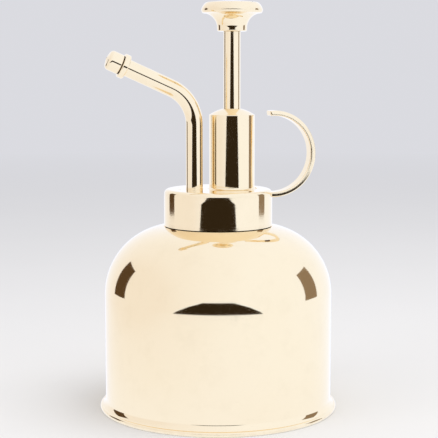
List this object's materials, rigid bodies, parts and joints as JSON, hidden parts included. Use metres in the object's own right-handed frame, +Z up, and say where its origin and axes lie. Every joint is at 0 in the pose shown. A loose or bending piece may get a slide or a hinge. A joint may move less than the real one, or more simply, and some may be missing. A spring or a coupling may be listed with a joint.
{
  "type": "hand mister",
  "caption": "Brass hand mister: domed reservoir, screw-on pump head with barrel, thumb plunger, bent spout with nozzle and a finger ring.",
  "frame": {"origin": "centre of the flat base, where the reservoir stands", "axes": "+Z up along the reservoir's axis, +X towards the finger ring, -X towards the spout"},
  "size_m": [0.0904, 0.0904, 0.1542],
  "materials": {
    "polished_brass": "mirror polished and lacquered",
    "plain_brass": "as turned",
    "white_plastic": "moulded acetal, satin",
    "clear_plastic": "extruded polyethylene tube, translucent",
    "black_rubber": "moulded rubber",
    "spring_steel": "stainless, bright"
  },
  "bodies": {
    "reservoir": {"reservoir_shell": "polished_brass", "base_plate": "polished_brass", "neck_ring": "plain_brass"},
    "washer": {"neck_gasket": "black_rubber"},
    "pump_head": {"cap_collar": "polished_brass", "cap_liner": "white_plastic", "pump_barrel": "polished_brass", "guide_bush": "white_plastic", "pump_cylinder": "white_plastic", "cylinder_gasket": "black_rubber", "gland_plug": "white_plastic", "rod_seal": "black_rubber", "return_spring": "spring_steel", "valve_block": "white_plastic", "passage_plug": "plain_brass", "foot_ring": "black_rubber", "ball_cage": "white_plastic", "outlet_spring": "spring_steel", "delivery_tube": "plain_brass", "spout_union": "plain_brass", "dip_tube": "clear_plastic", "dip_strainer": "white_plastic", "spout_tube": "polished_brass", "nozzle_body": "polished_brass", "swirl_insert": "plain_brass", "finger_ring": "polished_brass"},
    "follower": {"spring_follower": "white_plastic"},
    "plunger": {"plunger_rod": "polished_brass", "thumb_knob": "polished_brass", "piston": "white_plastic", "piston_rings": "black_rubber", "buffer_washer": "black_rubber", "piston_nut": "plain_brass"},
    "inlet_valve": {"inlet_ball": "spring_steel"},
    "outlet_valve": {"outlet_ball": "spring_steel"},
    "nozzle_washer": {"nozzle_seal": "black_rubber"},
    "nozzle": {"nozzle_cap": "polished_brass"}
  },
  "joints": [
    {"name": "cap_lift", "type": "slide", "parent": "reservoir", "child": "washer", "axis": [0, 0, 1], "range_m": [0, 0.0045]},
    {"name": "cap_turn", "type": "hinge", "parent": "washer", "child": "pump_head", "pos_m": [0, 0, 0], "axis": [0, 0, 1], "range_deg": [0, 540]},
    {"name": "plunger_stroke", "type": "slide", "parent": "pump_head", "child": "follower", "axis": [0, 0, 1], "range_m": [-0.026, 0], "stiffness_N_per_m": 250, "springref_m": 0.012, "deforming": ["return_spring"]},
    {"name": "plunger_spin", "type": "hinge", "parent": "follower", "child": "plunger", "pos_m": [0.0054, 0, 0], "axis": [0, 0, 1], "continuous": true},
    {"name": "inlet_ball_lift", "type": "slide", "parent": "pump_head", "child": "inlet_valve", "axis": [0, 0, 1], "range_m": [0, 0.0012]},
    {"name": "outlet_ball_lift", "type": "slide", "parent": "pump_head", "child": "outlet_valve", "axis": [0, 0, 1], "range_m": [0, 0.0012], "stiffness_N_per_m": 20, "springref_m": -0.001, "deforming": ["outlet_spring"]},
    {"name": "nozzle_advance", "type": "slide", "parent": "pump_head", "child": "nozzle_washer", "axis": [-0.9121, 0, 0.4099], "range_m": [0, 0.0012]},
    {"name": "nozzle_turn", "type": "hinge", "parent": "nozzle_washer", "child": "nozzle", "pos_m": [-0.03487, 0, 0.12932], "axis": [-0.9121, 0, 0.4099], "range_deg": [0, 540]}
  ],
  "couplings": [
    {"joint": "cap_lift", "follows": "cap_turn", "m_per_rad": 0.00047746},
    {"joint": "nozzle_turn", "follows": "nozzle_advance", "rad_per_m": 7854}
  ]
}
